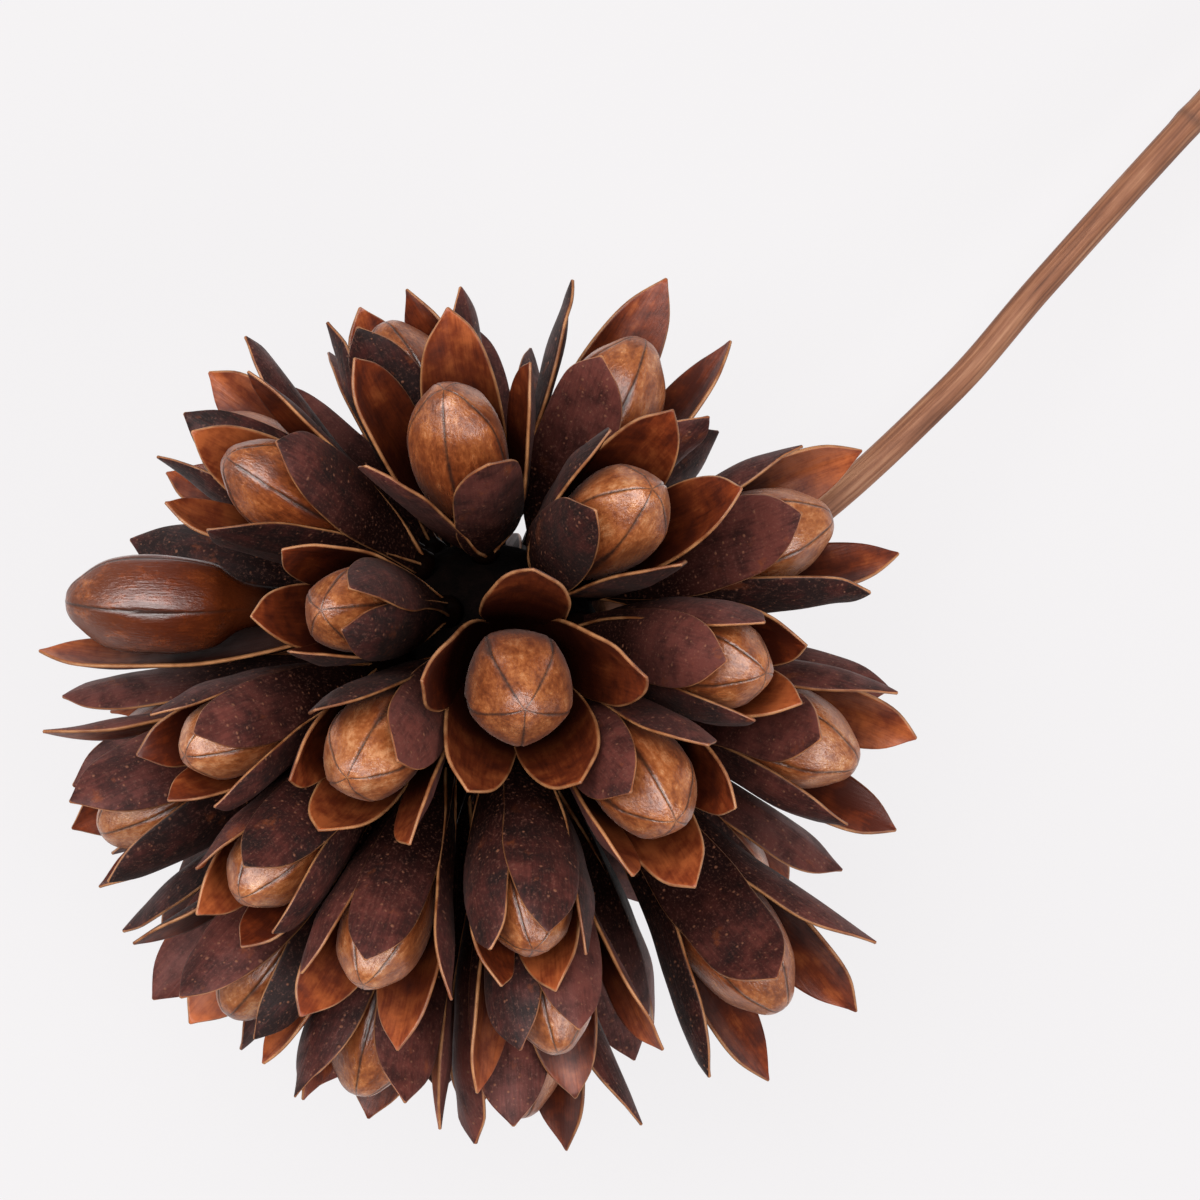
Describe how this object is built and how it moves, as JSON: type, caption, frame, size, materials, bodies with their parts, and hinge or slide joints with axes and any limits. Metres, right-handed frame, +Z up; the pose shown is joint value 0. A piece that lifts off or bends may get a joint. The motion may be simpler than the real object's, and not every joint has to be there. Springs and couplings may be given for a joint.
{
  "type": "dried round seed head on a stem",
  "caption": "Dried round seed head: seamed woody capsules, each in a cup of pointed bracts, radiating from a small core on a cut stem that lies on the table.",
  "frame": {"origin": "on the table, straight below the middle of the head, on the flat spot that the lowest pod rests on", "axes": "+X runs from the head along its stem to the cut end, +Z is up from the table"},
  "size_m": [0.2527, 0.1144, 0.101],
  "materials": {
    "pod": "satin",
    "stem": "matte",
    "receptacle": "matte"
  },
  "bodies": {
    "root": {"pod_01": "pod", "pod_02": "pod", "pod_03": "pod", "pod_04": "pod", "pod_05": "pod", "pod_06": "pod", "pod_07": "pod", "pod_08": "pod", "pod_09": "pod", "pod_10": "pod", "pod_11": "pod", "pod_12": "pod", "pod_13": "pod", "pod_14": "pod", "pod_15": "pod", "pod_16": "pod", "pod_17": "pod", "pod_18": "pod", "pod_19": "pod", "pod_20": "pod", "pod_21": "pod", "pod_22": "pod", "pod_23": "pod", "pod_24": "pod", "pod_25": "pod", "pod_26": "pod", "pod_27": "pod", "pod_28": "pod", "pod_29": "pod", "pod_30": "pod", "pod_31": "pod", "pod_32": "pod", "pod_33": "pod", "pod_34": "pod", "pod_35": "pod", "pod_36": "pod", "pod_37": "pod", "pod_38": "pod", "pod_39": "pod", "pod_40": "pod", "pod_41": "pod", "pod_42": "pod", "receptacle": "receptacle", "stem": "stem"}
  },
  "joints": []
}
